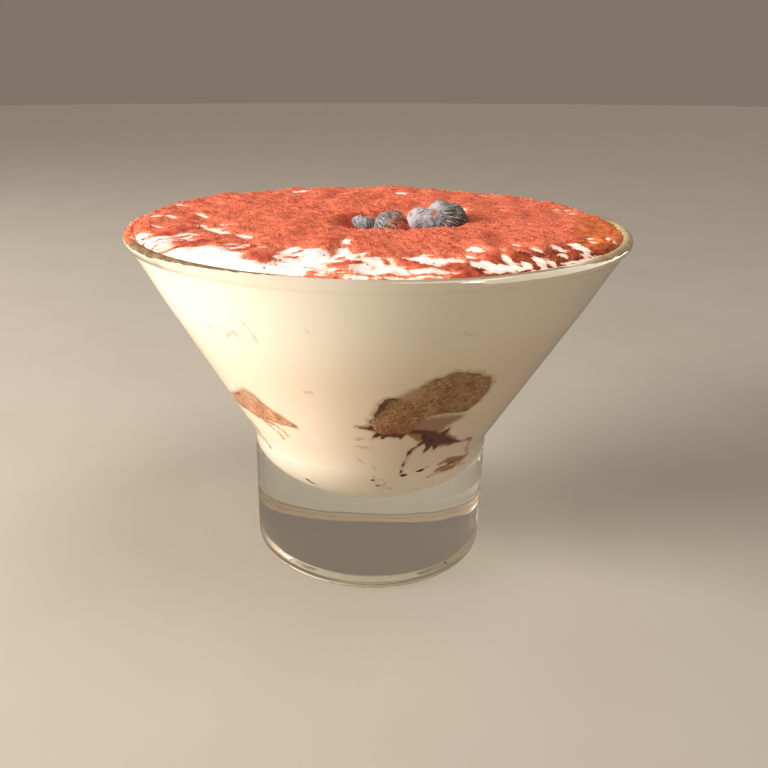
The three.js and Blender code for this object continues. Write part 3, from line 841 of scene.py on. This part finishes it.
def make_cocoa_grains(count, seed):
    """Loose grains of cocoa: small seven-cornered lumps with jittered corners, strewn
    evenly over the top, kept where there is cocoa and here and there on bare cream."""
    rng = np.random.default_rng(seed)
    r = (CONTACT_RADIUS - 0.6) * np.sqrt(rng.random(count))
    a = rng.uniform(0, 2 * np.pi, count)
    x, y = r * np.sin(a), -r * np.cos(a)
    on_cocoa = cocoa_cover(x, y) > 0.2
    kept = rng.random(count) < np.where(on_cocoa, 1.0, 0.07)
    x, y, on_cocoa = x[kept], y[kept], on_cocoa[kept]
    size = 0.13 * np.exp(0.38 * rng.normal(size=len(x)))
    z = np.where(on_cocoa, cocoa_height(x, y), cream_top(x, y)) + 0.35 * size
    corners = GRAIN_SHAPE[None] * size[:, None, None] * rng.uniform(0.65, 1.35, (len(x), 7, 1))
    spin = rng.uniform(0, 2 * np.pi, len(x))[:, None]
    cos, sin = np.cos(spin), np.sin(spin)
    u, v, w = np.moveaxis(corners, -1, 0)
    points = np.stack([u * cos - v * sin, u * sin + v * cos, w], -1) + np.stack([x, y, z], axis=1)[:, None]
    faces = GRAIN_FACES[None] + 7 * np.arange(len(x))[:, None, None]
    return in_scene("cocoa_grains", new_mesh("cocoa_grains", points, faces.reshape(-1, 3).tolist()))


# ---- materials ----------------------------------------------------------------------


class Tone:
    """A value or colour in a node tree, with plain arithmetic and a smooth step on it."""

    def __init__(self, socket):
        self.socket, self.tree = socket, socket.id_data

    def maths(self, operation, *others, clamp=False):
        """One Math node on this value and the others."""
        inputs = dict(enumerate((self, *others)))
        return tone(self.tree, "Math", 0, inputs, operation=operation, use_clamp=clamp)

    def __add__(self, other):
        return self.maths("ADD", other)

    def __sub__(self, other):
        return self.maths("SUBTRACT", other)

    def __mul__(self, other):
        return self.maths("MULTIPLY", other)

    def ramp(self, low, high):
        """A smooth step of this value from low to high, 0 to 1."""
        inputs = {"Value": self, "From Min": low, "From Max": high}
        return tone(self.tree, "MapRange", "Result", inputs, interpolation_type="SMOOTHSTEP")

    def vector(self, operation, inputs=None):
        """One Vector Math node on this vector, with its other inputs by number or name."""
        output = "Value" if operation == "LENGTH" else "Vector"
        return tone(self.tree, "VectorMath", output, {0: self, **(inputs or {})}, operation=operation)

    def noise(self, size, detail=2.0, roughness=0.5):
        """Noise of a feature size in mm on this place in mm, spread about 0.5."""
        inputs = {"Vector": self, "Scale": 1 / size, "Detail": detail, "Roughness": roughness}
        return tone(self.tree, "TexNoise", "Fac", inputs)

    def uneven(self, *noise):
        """The same noise, spread about 0."""
        return self.noise(*noise) - 0.5

    def part(self, axis):
        """The X, Y or Z of this vector."""
        return tone(self.tree, "SeparateXYZ", axis, {0: self})

    def bump(self, distance):
        """The normal of a Bump node with this height; the distance is in mm."""
        return tone(self.tree, "Bump", "Normal", {"Height": self, "Distance": distance * MM})


def feed(socket, value):
    """Links a tone to a socket, or sets the socket to a number or a colour."""
    if isinstance(value, Tone):
        value.tree.links.new(value.socket, socket)
    else:
        socket.default_value = (*value, 1.0) if socket.type == "RGBA" and len(value) == 3 else value


def add(tree, kind, inputs=None, **settings):
    """Adds a shader node, sets its settings, and feeds its inputs by name or number."""
    made = tree.nodes.new("ShaderNode" + kind)
    for key, value in settings.items():
        setattr(made, key, value)
    for key, value in (inputs or {}).items():
        feed(made.inputs[key], value)
    return made


def tone(tree, kind, output, inputs=None, **settings):
    """One output of a new node."""
    return Tone(add(tree, kind, inputs, **settings).outputs[output])


def blend(share, first, second):
    """A mix of two colours by a share."""
    return tone(share.tree, "Mix", 2, {0: share, 6: first, 7: second}, data_type="RGBA")


def layered(colour, *layers):
    """A colour with others laid over it in turn, each by its share."""
    for share, tint in layers:
        colour = blend(share, colour, tint)
    return colour


class Finish:
    """A material in the making: its Principled shader, output and place in mm."""

    def __init__(self, name):
        self.material = bpy.data.materials.new(name)
        self.material.use_nodes = True
        self.tree = self.material.node_tree
        self.tree.nodes.clear()
        self.shader = add(self.tree, "BsdfPrincipled")
        self.output = add(self.tree, "OutputMaterial", {"Surface": Tone(self.shader.outputs[0])})
        self.place = tone(self.tree, "TexCoord", "Object").vector("SCALE", {"Scale": 1 / MM})

    def field(self, name):
        """A point attribute's value."""
        return tone(self.tree, "Attribute", "Fac", attribute_name=name)

    def group(self, group, inputs):
        """A node group placed in the material, as a table of what it puts out."""
        made = add(self.tree, "Group", {"Place": self.place, **inputs}, node_tree=group)
        return {socket.name: Tone(socket) for socket in made.outputs}

    def dusted(self, dusting, under):
        """The cocoa dusting over a colour, as the piece's fields have it."""
        fields = {name.title(): self.field(name) for name in ("cover", "damp_and_shade", "soaked")}
        return self.group(dusting, {"Under": under, **fields})

    def mottle(self, group, size, first, second):
        """A slow drift between two colours."""
        return self.group(group, {"Size": size, "First": first, "Second": second})["Colour"]

    def mark(self, name, soft, size, amount):
        """A distance field as a mask whose edge is ragged at two sizes."""
        field = self.field(name) + self.place.uneven(size, 4.0, 0.65) * amount
        return (field + self.place.uneven(3.2 * size, 3.0, 0.6) * (1.2 * amount)).ramp(-soft, soft)

    def done(self, **inputs):
        """Feeds the shader, its inputs named with _ for a space, and gives the material."""
        for key, value in inputs.items():
            feed(self.shader.inputs[key.replace("_", " ")], value)
        return self.material


def new_group(name, inputs, outputs):
    """A node group with named inputs and outputs: the group, its inputs as tones, and a
    function that feeds its outputs in order."""
    tree = bpy.data.node_groups.new(name, "ShaderNodeTree")
    for way, sockets in (("INPUT", inputs), ("OUTPUT", outputs)):
        for label, kind in sockets.items():
            tree.interface.new_socket(name=label, in_out=way, socket_type="NodeSocket" + kind)
    given, result = tree.nodes.new("NodeGroupInput"), tree.nodes.new("NodeGroupOutput")

    def put_out(*tones):
        for socket, value in zip(result.inputs, tones):
            feed(socket, value)

    return tree, [Tone(given.outputs[label]) for label in inputs], put_out


def cocoa_dusting_group():
    """Cocoa over another colour: Cover in mm is roughened by noise, so that the edge
    breaks into dust, near the glass in streaks that run outwards. The powder is darker
    in the hollows of its bump and paler on its crests, as painted shade and painted light,
    and has dark grains; it is pale orange where thin and past its edge, crimson and then
    maroon where it is damp, crimson also as painted shade on the well's left wall, and a
    smooth amber where it is soaked."""
    group, (place, cover, damp_and_shade, soaked, under), put_out = new_group(
        "cocoa dusting",
        {"Place": "Vector", "Cover": "Float", "Damp_And_Shade": "Float", "Soaked": "Float", "Under": "Color"},
        {"Colour": "Color", "Mask": "Float", "Height": "Float"},
    )
    level = place.vector("MULTIPLY", {1: (1.0, 1.0, 0.0)})
    reach = level.vector("LENGTH")
    rise = tone(group, "CombineXYZ", 0, {2: reach * 0.3})
    outward = level.vector("NORMALIZE").vector("SCALE", {"Scale": 55.0}).vector("ADD", {1: rise})
    fine, clump = place.noise(0.4, 3.0, 0.7), place.noise(1.8, 3.0, 0.65)
    streak = outward.noise(1.0, 3.0, 0.6)
    rough_cover = cover + (fine - 0.5) * 2.6 + (streak - 0.5) * reach.ramp(24.0, 44.0) * 3.4
    mask = rough_cover.ramp(-0.35, 0.35)
    damp = blend((streak * 0.5 + clump).ramp(0.85, 0.55), (0.26, 0.04, 0.01), (0.11, 0.017, 0.005))
    amber = blend(streak.ramp(0.35, 0.62), (0.44, 0.082, 0.016), (0.6, 0.155, 0.038))
    thinned = clump * 3.0 + rough_cover
    dry = (damp_and_shade * 1.1 + soaked).maths("MULTIPLY_ADD", -1.0, 0.85, clamp=True)
    powder = layered(
        blend(place.noise(9.0).ramp(0.36, 0.66), (0.62, 0.136, 0.073), (0.68, 0.17, 0.092)),
        # painted shade: darker in the hollows of the bump, where the clump noise is low
        (clump.ramp(0.5, 0.3), (0.56, 0.105, 0.058)),
        # painted light: paler on the crests of the bump, where the fine noise is high
        (fine.ramp(0.52, 0.68), (0.83, 0.285, 0.15)),
        # painted shade: dark crimson in the fine hollows of the bump
        (fine.ramp(0.49, 0.37) * 0.95, (0.44, 0.042, 0.028)),
        (place.noise(0.62, 1.0).ramp(0.37, 0.29) * 0.8, (0.36, 0.032, 0.023)),
        # crimson where damp, and painted shade on the well's left wall
        (damp_and_shade.ramp(0.08, 0.38) * 0.85, (0.44, 0.054, 0.032)),
        (damp_and_shade.ramp(0.4, 0.64), damp),
        (soaked.ramp(0.15, 0.85), amber),
        (thinned.ramp(3.3, 1.5) * dry, (0.8, 0.26, 0.145)),
    )
    film = blend(thinned.ramp(-1.1, 1.9) * 0.8, under, (0.93, 0.5, 0.3))
    smooth = (damp_and_shade * 0.5 + soaked) * -0.75
    put_out(blend(mask, film, powder), mask, (fine + clump * 0.3) * mask.maths("ADD", smooth, clamp=True))
    return group


def soft_mottle_group():
    """Slow drift between two colours, with a finer drift on top."""
    inputs = {"Place": "Vector", "Size": "Float", "First": "Color", "Second": "Color"}
    group, (place, size, first, second), put_out = new_group("soft mottle", inputs, {"Colour": "Color"})
    scale = tone(group, "Math", 0, {0: 1.0, 1: size}, operation="DIVIDE")
    drift = tone(group, "TexNoise", "Fac", {"Vector": place, "Scale": scale, "Detail": 3.0})
    put_out(blend(drift.ramp(0.32, 0.68), first, second))
    return group


def cream_material(dusting, mottle):
    """Mascarpone cream: ivory with a slow drift, paler high and low on the wall as painted
    light, marked there by coffee and tan soak, dark specks and faint smears, browner round
    the ladyfingers as soak and painted shade, with painted shade under the front right
    ladyfinger, and dusted with cocoa on top."""
    finish = Finish("mascarpone cream")
    place, wall = finish.place, finish.field("wall")
    height = place.part("Z") + place.noise(14.0) * 1.2
    ivory = finish.mottle(mottle, 16.0, (0.945, 0.765, 0.62), (0.925, 0.735, 0.58))
    coffee = finish.mottle(mottle, 1.4, (0.08, 0.014, 0.004), (0.17, 0.045, 0.016))
    # browner round the ladyfingers: soak, and painted shade beside them
    halo = (finish.field("finger") + place.noise(2.6, 4.0, 0.6) * 3.4).ramp(0.1, 2.6)
    colour = layered(
        blend(wall, UNDER_COCOA, ivory),
        # painted light: the wall paler near the top
        (height.ramp(62.0, 84.0) * wall, (1.0, 0.89, 0.77)),
        # painted light: the wall paler near the bottom
        (height.ramp(46.0, 28.0) * wall * 0.8, (1.0, 0.87, 0.77)),
        (halo * 0.8, (0.46, 0.245, 0.13)),
        (finish.mark("faint", 0.35, 0.8, 1.0) * 0.5, (0.48, 0.35, 0.25)),
        # painted shade under the front right ladyfinger
        (finish.mark("lens", 1.3, 0.9, 1.2) * 0.9, (0.36, 0.165, 0.082)),
        (finish.mark("tan", 0.6, 1.1, 1.6) * 0.92, (0.37, 0.125, 0.022)),
        (finish.mark("coffee", 1.0, 1.1, 2.0) * 0.75, (0.36, 0.14, 0.055)),
        (finish.mark("coffee", 0.22, 0.6, 1.1), coffee),
        (finish.mark("specks", 0.1, 0.4, 0.5), (0.022, 0.016, 0.015)),
    )
    dusted = finish.dusted(dusting, colour)
    relief = (place.noise(1.7, 3.0, 0.55) * 0.6 + dusted["Height"]) * wall.maths("MULTIPLY_ADD", -1.0, 1.0)
    return finish.done(
        Base_Color=dusted["Colour"],
        Roughness=dusted["Mask"] * 0.45 + 0.42,
        Normal=relief.bump(0.22),
        Specular_IOR_Level=0.15,
        Subsurface_Weight=0.05,
        Subsurface_Radius=(1.0, 0.75, 0.5),
        Subsurface_Scale=0.0012,
    )


def cocoa_material(dusting, name):
    """Sifted cocoa: the same dusting over cream, very rough, with a velvety sheen."""
    finish = Finish(name)
    dusted = finish.dusted(dusting, UNDER_COCOA)
    return finish.done(
        Base_Color=dusted["Colour"],
        Roughness=finish.field("soaked") * -0.4 + 0.92,
        Normal=dusted["Height"].bump(0.21),
        Specular_IOR_Level=0.2,
        Sheen_Weight=0.06,
        Sheen_Roughness=0.5,
        Sheen_Tint=(1.0, 0.75, 0.6),
    )


def lip_shade_film_material():
    """A sheet on the glass lip: olive brown painted shade of the lip, orange brown damp cocoa
    beside the cream.
    """
    finish = Finish("lip shade and damp cocoa film")
    tone = finish.place.noise(2.2, 4.0, 0.65)
    # painted shade: the dark olive band of the lip
    olive = blend(tone.ramp(0.4, 0.62), (0.135, 0.088, 0.046), (0.235, 0.155, 0.086))
    orange = finish.field("orange") + finish.place.uneven(1.2, 3.0, 0.6) * 1.4
    colour = blend(orange.ramp(0.3, 0.9), olive, (0.5, 0.125, 0.06))
    return finish.done(Base_Color=colour, Roughness=0.6, Normal=tone.bump(0.12))


def lip_highlight_material(mottle):
    """A sheet on the glass lip in cream colours: a painted highlight along the lip, turning to
    olive painted shade towards its right end.
    """
    finish = Finish("painted lip highlight and shade")
    # painted highlight: the bright band along the lip
    thick = finish.mottle(mottle, 1.8, (0.97, 0.88, 0.76), (0.9, 0.7, 0.54))
    # painted shade: the olive band of the lip at its right end
    thin = finish.mottle(mottle, 2.6, (0.36, 0.275, 0.148), (0.46, 0.36, 0.205))
    right = finish.place.part("X").ramp(38.0, 47.0)
    return finish.done(Base_Color=blend(right, thick, thin), Roughness=0.5)


def grain_material():
    """Loose cocoa grains: from grain to grain darker or paler."""
    finish = Finish("loose cocoa grains")
    colour = blend(finish.place.noise(0.8, 1.0).ramp(0.35, 0.65), (0.46, 0.088, 0.048), (0.72, 0.2, 0.11))
    return finish.done(Base_Color=colour, Roughness=0.95, Specular_IOR_Level=0.15)


def sponge_material(mottle, name, first, second, soaked, edge):
    """Soaked ladyfinger: a fine-pored crumb in two browns, darker in the pits and paler on
    the crests of its bump as painted shade and painted light, redder and darker towards its
    left end and lower edge, with a dark upper left corner, a hazy patch of cream beside
    it and a film of cream at its rim."""
    finish = Finish(name)
    place = finish.place
    along, across, inside = finish.field("along"), finish.field("across"), finish.field("inside")
    drift, crumb = place.noise(2.6, 3.0, 0.6), place.noise(0.7, 5.0, 0.7)
    end = (drift * 9.0 + along).ramp(1.5, -3.5)
    low = (drift * 5.0 + across).ramp(2.2, -1.2)
    rim = (drift * 2.0 + inside).ramp(2.6, 1.3)
    base = layered(
        finish.mottle(mottle, 3.0, first, second),
        (end * 0.85 * low, soaked),
        (end * 0.8 * across.ramp(2.5, 5.0), edge),
        (rim * across.ramp(0.5, 3.0) * 0.7, edge),
        (rim * across.ramp(-1.0, -3.0) * 0.6, soaked),
    )
    # painted shade in the pits of the crumb's bump and painted light on its crests
    pits = tuple(share * c for share, c in zip((0.34, 0.24, 0.2), first))
    crests = tuple(min(1.0, 2.0 * c) for c in second)
    near_edge = drift * 2.5 + inside
    corner = near_edge.ramp(4.2, 2.6) * across.ramp(1.2, 2.8) * (drift * 3.0 + along).ramp(-1.8, -4.2)
    haze = near_edge.ramp(5.6, 2.8) * across.ramp(2.0, 4.2) * (along + 1.2).maths("ABSOLUTE").ramp(4.0, 1.8)
    colour = layered(
        base,
        (crumb.ramp(0.5, 0.34) * 0.66, pits),
        (crumb.ramp(0.52, 0.68) * 0.6, crests),
        (corner * 0.85, edge),
        (haze * 0.6, (0.55, 0.37, 0.23)),
        ((place.noise(1.6, 4.0, 0.6) * 3.0 + inside).ramp(2.4, 1.5) * 0.6, (0.6, 0.4, 0.26)),
    )
    return finish.done(Base_Color=colour, Roughness=0.8, Normal=crumb.bump(0.2), Specular_IOR_Level=0.05)


def blueberry_material(mottle):
    """Blueberry skin: slate blue under a lavender waxy coat that lies thicker on some sides
    and is painted paler towards the lit upper left as painted light, with streaks that run
    out from the stem, a tan stem scar and patches of cocoa dust."""
    finish = Finish("bloomed blueberry skin")
    place, streaks = finish.place, finish.field("streaks")
    patches = place.uneven(1.5, 4.0, 0.65)
    bloom_and_light = finish.field("bloom_and_light") + patches * 1.5 + streaks * 0.14
    blots = place.noise(1.1, 3.0, 0.6) + finish.field("bloom_and_light") * -0.25
    from_stem = finish.field("from_stem") + patches * 5.0
    dust = finish.field("dust") + place.uneven(0.7, 4.0, 0.7) * 2.2
    colour = layered(
        finish.mottle(mottle, 1.8, (0.04, 0.047, 0.06), (0.085, 0.092, 0.1)),
        # the waxy coat, paler towards the lit upper left as painted light
        (bloom_and_light.ramp(0.15, 0.95), (0.36, 0.335, 0.37)),
        # painted highlight: the palest coat on the lit upper left
        (bloom_and_light.ramp(0.85, 1.5) * 0.5, (0.56, 0.49, 0.5)),
        (streaks.ramp(0.1, 1.0) * 0.8, (0.45, 0.43, 0.35)),
        (streaks.ramp(-0.3, -1.1) * 0.8, (0.03, 0.033, 0.042)),
        (blots.ramp(0.44, 0.56) * 0.75, (0.045, 0.045, 0.052)),
        (from_stem.ramp(15.0, 11.0) * 0.5, (0.34, 0.31, 0.29)),
        (from_stem.ramp(11.5, 8.0) * 0.9, (0.25, 0.115, 0.066)),
        (from_stem.ramp(5.0, 2.0) * 0.6, (0.18, 0.085, 0.055)),
        (finish.field("from_crown").ramp(15.0, 9.0), (0.07, 0.055, 0.06)),
        (dust.ramp(0.38, 0.64), (0.6, 0.125, 0.045)),
    )
    return finish.done(
        Base_Color=colour,
        Roughness=bloom_and_light.ramp(0.2, 0.9) * 0.3 + 0.38,
        Normal=(place.noise(0.6, 3.0, 0.6) + streaks * 0.25).bump(0.22),
        Coat_Weight=0.12,
        Coat_Roughness=0.3,
    )


def glass_material():
    """Clear glass with a faint green-yellow tint. Light from lamps passes straight
    through, so that what it holds is lit as in air."""
    finish = Finish("clear dessert glass")
    tint = blend(finish.place.noise(30.0).ramp(0.3, 0.7), (0.935, 0.962, 0.885), (0.955, 0.972, 0.915))
    open_way = tone(finish.tree, "BsdfTransparent", 0, {"Color": (0.93, 0.945, 0.92)})
    path, mixed = add(finish.tree, "LightPath"), Tone(finish.shader.outputs[0])
    for ray in ("Is Diffuse Ray", "Is Shadow Ray"):
        mixed = tone(finish.tree, "MixShader", 0, {0: Tone(path.outputs[ray]), 1: mixed, 2: open_way})
    feed(finish.output.inputs["Surface"], mixed)
    return finish.done(Base_Color=tint, Roughness=0.015, IOR=1.5, Transmission_Weight=1.0)


def studio_material():
    """Pale matt studio floor."""
    finish = Finish("pale studio floor")
    tone = blend(finish.place.noise(60.0).ramp(0.2, 0.8), (0.37, 0.338, 0.29), (0.39, 0.358, 0.31))
    return finish.done(Base_Color=tone, Roughness=0.75)


# ---- studio -------------------------------------------------------------------------


def lamp(name, kind, place, turn, **settings):
    """A lamp at a place in metres, its turn in radians, with its settings."""
    data = bpy.data.lights.new(name, kind)
    for key, value in settings.items():
        setattr(data, key, value)
    return in_scene(name, data, place, turn)


def disk_lamp(name, azimuth, rise, distance, size, power, colour):
    """A round lamp at an azimuth and a rise in degrees that looks at the middle."""
    a, e = math.radians(azimuth), math.radians(rise)
    place = turned(math.cos(e), a, math.sin(e)) * distance + (0, 0, 0.06)
    turn = (math.pi / 2 - e, 0, a)
    return lamp(name, "AREA", place, turn, shape="DISK", size=size, energy=power, color=colour)


def make_floor():
    """A round pale floor, 8 m across, just under the foot."""
    grid = around(level(np.array([0.4, 1.2, 4.0]) / MM), 96) - (0, 0, 0.05)
    index = np.arange(grid.size // 3).reshape(grid.shape[:2])
    beside = np.roll(index, -1, axis=1)
    quads = np.stack([index[:-1], index[1:], beside[1:], beside[:-1]], axis=2).reshape(-1, 4)
    floor = in_scene("studio_floor", new_mesh("studio_floor", grid, quads.tolist() + [index[0].tolist()]))
    floor.data.materials.append(studio_material())
    floor.visible_glossy = False


def make_studio():
    """The floor, a large soft lamp at the front left, soft light from above, a pale sky,
    and two lamps that are to light only the glass, given back."""
    make_floor()
    world = bpy.data.worlds.new("pale studio")
    bpy.context.scene.world = world
    world.use_nodes = True
    background = world.node_tree.nodes["Background"].inputs
    background["Color"].default_value = (1.0, 0.80, 0.64, 1.0)
    background["Strength"].default_value = 0.22
    key = disk_lamp("key lamp", -72, 19, 0.95, 0.50, 21.5, (1.0, 0.95, 0.90))
    key.visible_glossy = key.visible_transmission = False
    small = disk_lamp("small lamp", 47, 40, 0.90, 0.13, 3.6, (1.0, 0.96, 0.88))
    wide = {"shape": "RECTANGLE", "size": 1.5, "size_y": 1.6, "energy": 40.0, "color": (1.0, 0.955, 0.77)}
    rim = lamp("rim lamp", "AREA", (0.75, 0.0, 0.81), (math.pi / 2, 0, math.pi / 2), **wide)
    rim.visible_diffuse = rim.visible_camera = rim.visible_transmission = False
    above = {"energy": 1.55, "angle": math.radians(35), "color": (1.0, 0.94, 0.86)}
    lamp("soft overhead light", "SUN", (0, 0, 0), (math.radians(22), 0, math.radians(75)), **above)
    bpy.context.scene.view_settings.view_transform = "Standard"
    return rim, small


def make_camera():
    """A camera 202 mm in front and 127 mm up that looks 21.8 degrees down."""
    data = bpy.data.cameras.new("camera")
    data.sensor_width = 36.0
    data.lens = data.sensor_width * FOCAL_LENGTH / PICTURE
    data.shift_x = (PICTURE / 2 - AXIS_COLUMN) / PICTURE
    data.clip_start = 0.01
    place = (0, -CAMERA_BACK * MM, CAMERA_UP * MM)
    camera = in_scene("camera", data, place, (math.pi / 2 - CAMERA_DOWN, 0, CAMERA_LEFT))
    bpy.context.scene.camera = camera


def main():
    """Makes the camera, the studio and every piece, and dresses each piece."""
    make_camera()
    glass_lamps = make_studio()
    dusting, mottle = cocoa_dusting_group(), soft_mottle_group()
    glass = make_glass()
    dress(glass, glass_material(), "clear_glass", "glass")
    lit = bpy.data.collections.new("lit by the rim lamps")
    lit.objects.link(glass)
    for made in glass_lamps:
        made.light_linking.receiver_collection = lit
    dress(make_cream(), cream_material(dusting, mottle), "mascarpone_cream", "cream")
    dress(make_cocoa(), cocoa_material(dusting, "sifted cocoa"), "cocoa_powder", "cocoa")
    dress(make_cocoa_on_rim(), cocoa_material(dusting, "cocoa on the rim"), "cocoa_powder")
    # painted shade on the lip at the left front, with orange cocoa beside the cream
    turns, reaches = (-82, -76, -60, -50, -40, -30, -20, -8), (20, 120, 136, 134, 116, 100, 78, 36)
    film = make_film_on_rim("lip_shade_and_cocoa_film", turns, reaches, 0.07, 58)
    dress(film, lip_shade_film_material(), "cocoa_powder")
    # painted highlight and painted shade along the lip at the right front
    turns, reaches = (14, 28, 36, 46, 64, 78, 88, 98), (12, 46, 66, 116, 138, 140, 110, 8)
    film = make_film_on_rim("lip_highlight_and_shade_film", turns, reaches, 0.09, 62)
    dress(film, lip_highlight_material(mottle), "mascarpone_cream")
    dress(make_cocoa_grains(9000, 81), grain_material(), "cocoa_powder")
    sponges = {}
    for kind, colours in SPONGES.items():
        sponges[kind] = sponge_material(mottle, f"soaked ladyfinger, {kind}", *colours)
    for number, (name, (azimuth, height, turn, deep, radii)) in enumerate(FINGERS.items()):
        piece = make_ladyfinger(name, azimuth, height, turn, deep, radii, 90 + 3 * number)
        sponge = sponges["rosy" if name.endswith("left") else "brown"]
        dress(piece, sponge, "soaked_ladyfinger", f"ladyfinger_{name}")
    skin = blueberry_material(mottle)
    for number, (berry, look) in enumerate(zip(BERRIES, BERRY_LOOKS), start=1):
        dress(make_blueberry(number, *berry, *look), skin, "blueberry_skin", f"blueberry_{number}")


main()
